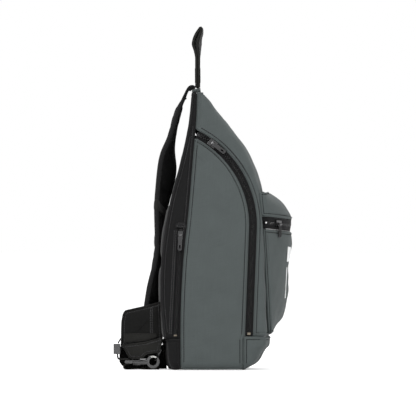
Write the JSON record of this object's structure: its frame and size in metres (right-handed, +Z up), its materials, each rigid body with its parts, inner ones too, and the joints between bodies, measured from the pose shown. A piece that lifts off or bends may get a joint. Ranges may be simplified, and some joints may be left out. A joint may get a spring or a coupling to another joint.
{
  "type": "sling bag",
  "caption": "Tapered fabric sling bag with a front pocket, zips with sliding pulls, a grab loop, and a padded shoulder strap with a snap hook.",
  "frame": {"origin": "centre of the bounding box in X and Y, at the height of the base", "axes": "+X to the front pocket, +Z up, +Y across the bag; the side with the zips is -Y"},
  "size_m": [0.2529, 0.24, 0.4876],
  "materials": {
    "shell_fabric": "matte woven nylon",
    "gusset_fabric": "matte woven nylon",
    "back_mesh": "spacer mesh",
    "strap_fabric": "soft mesh",
    "webbing": "ribbed webbing",
    "lining": "smooth thin cloth",
    "foam": "soft foam",
    "zip_tape": "woven tape",
    "zip_coil": "glossy",
    "zip_stop": "satin",
    "hardware": "glossy gunmetal",
    "pale_print": "matte"
  },
  "bodies": {
    "bag": {"side_panel_near": "shell_fabric", "side_panel_far": "shell_fabric", "front_panel": "shell_fabric", "lower_front_panel": "shell_fabric", "base_panel": "shell_fabric", "back_gusset_near": "gusset_fabric", "back_gusset_far": "gusset_fabric", "back_panel": "back_mesh", "lower_back_band": "gusset_fabric", "back_piping": "gusset_fabric", "top_cap": "shell_fabric", "strap_anchor": "strap_fabric", "back_foam": "foam", "base_board": "foam", "main_lining": "lining", "back_pocket_lining": "lining", "pocket_lining": "lining", "pocket_upper_panel": "shell_fabric", "pocket_lower_panel": "shell_fabric", "front_patch": "pale_print", "main_zip_tapes": "zip_tape", "main_zip_coils": "zip_coil", "main_zip_stops": "zip_stop", "back_zip_tapes": "zip_tape", "back_zip_coils": "zip_coil", "back_zip_stops": "zip_stop", "back_zip_garage": "gusset_fabric", "pocket_zip_tapes": "zip_tape", "pocket_zip_coils": "zip_coil", "pocket_zip_stops": "zip_stop", "ring_tab": "webbing"},
    "d_ring": {"d_ring": "hardware"},
    "main_slider": {"main_slider": "hardware"},
    "main_pull": {"main_pull": "hardware"},
    "back_slider": {"back_slider": "hardware"},
    "back_pull": {"back_pull": "hardware"},
    "pocket_slider": {"pocket_slider": "hardware"},
    "pocket_pull": {"pocket_pull": "hardware"},
    "grab_loop": {"haul_loop": "webbing"},
    "strap": {"strap_cover": "strap_fabric", "strap_foam": "foam", "strap_wing": "webbing", "strap_flap": "webbing", "strap_webbing": "webbing", "hook_base": "hardware"},
    "adjuster": {"adjuster": "hardware"},
    "hook": {"hook_body": "hardware"},
    "hook_gate": {"hook_gate": "hardware"}
  },
  "joints": [
    {"name": "main_slider_run", "type": "hinge", "parent": "bag", "child": "main_slider", "pos_m": [-0.078, -0.07755, 0.20436], "axis": [0, -0.9823, 0.1874], "range_deg": [-52, 4]},
    {"name": "main_pull_swing", "type": "hinge", "parent": "main_slider", "child": "main_pull", "pos_m": [0.01271, -0.06031, 0.32012], "axis": [-0.6129, -0.1481, -0.7762], "range_deg": [0, 150]},
    {"name": "back_slider_run", "type": "slide", "parent": "bag", "child": "back_slider", "axis": [0.0484, 0.1872, 0.9811], "range_m": [-0.136, 0]},
    {"name": "back_pull_swing", "type": "hinge", "parent": "back_slider", "child": "back_pull", "pos_m": [-0.03244, -0.08652, 0.1907], "axis": [-0.9988, 0.0091, 0.0476], "range_deg": [0, 150]},
    {"name": "pocket_slider_run", "type": "hinge", "parent": "bag", "child": "pocket_slider", "pos_m": [0.035, 0, 0.214], "axis": [0.1115, 0, 0.9938], "range_deg": [-5, 81]},
    {"name": "pocket_pull_swing", "type": "hinge", "parent": "pocket_slider", "child": "pocket_pull", "pos_m": [0.10857, -0.05784, 0.20575], "axis": [-0.6118, -0.788, 0.0686], "range_deg": [0, 140]},
    {"name": "grab_loop_bend", "type": "hinge", "parent": "bag", "child": "grab_loop", "pos_m": [-0.0081, 0, 0.4016], "axis": [0, 1, 0], "range_deg": [-38, 75], "stiffness_Nm_per_rad": 0.02},
    {"name": "strap_swing", "type": "hinge", "parent": "bag", "child": "strap", "pos_m": [-0.0225, 0, 0.3895], "axis": [0, 1, 0], "range_deg": [0, 45]},
    {"name": "adjuster_slide", "type": "slide", "parent": "strap", "child": "adjuster", "axis": [0, 0, 1], "range_m": [-0.008, 0]},
    {"name": "hook_swivel", "type": "hinge", "parent": "strap", "child": "hook", "pos_m": [-0.099, -0.095, 0.012], "axis": [1, 0, 0], "continuous": true},
    {"name": "gate_spring", "type": "hinge", "parent": "hook", "child": "hook_gate", "pos_m": [-0.07549, -0.095, 0.01775], "axis": [0, 1, 0], "range_deg": [0, 28], "stiffness_Nm_per_rad": 0.01},
    {"name": "ring_swing", "type": "hinge", "parent": "bag", "child": "d_ring", "pos_m": [-0.0595, -0.066, 0.028], "axis": [0, 1, 0], "range_deg": [-30, 70]}
  ]
}
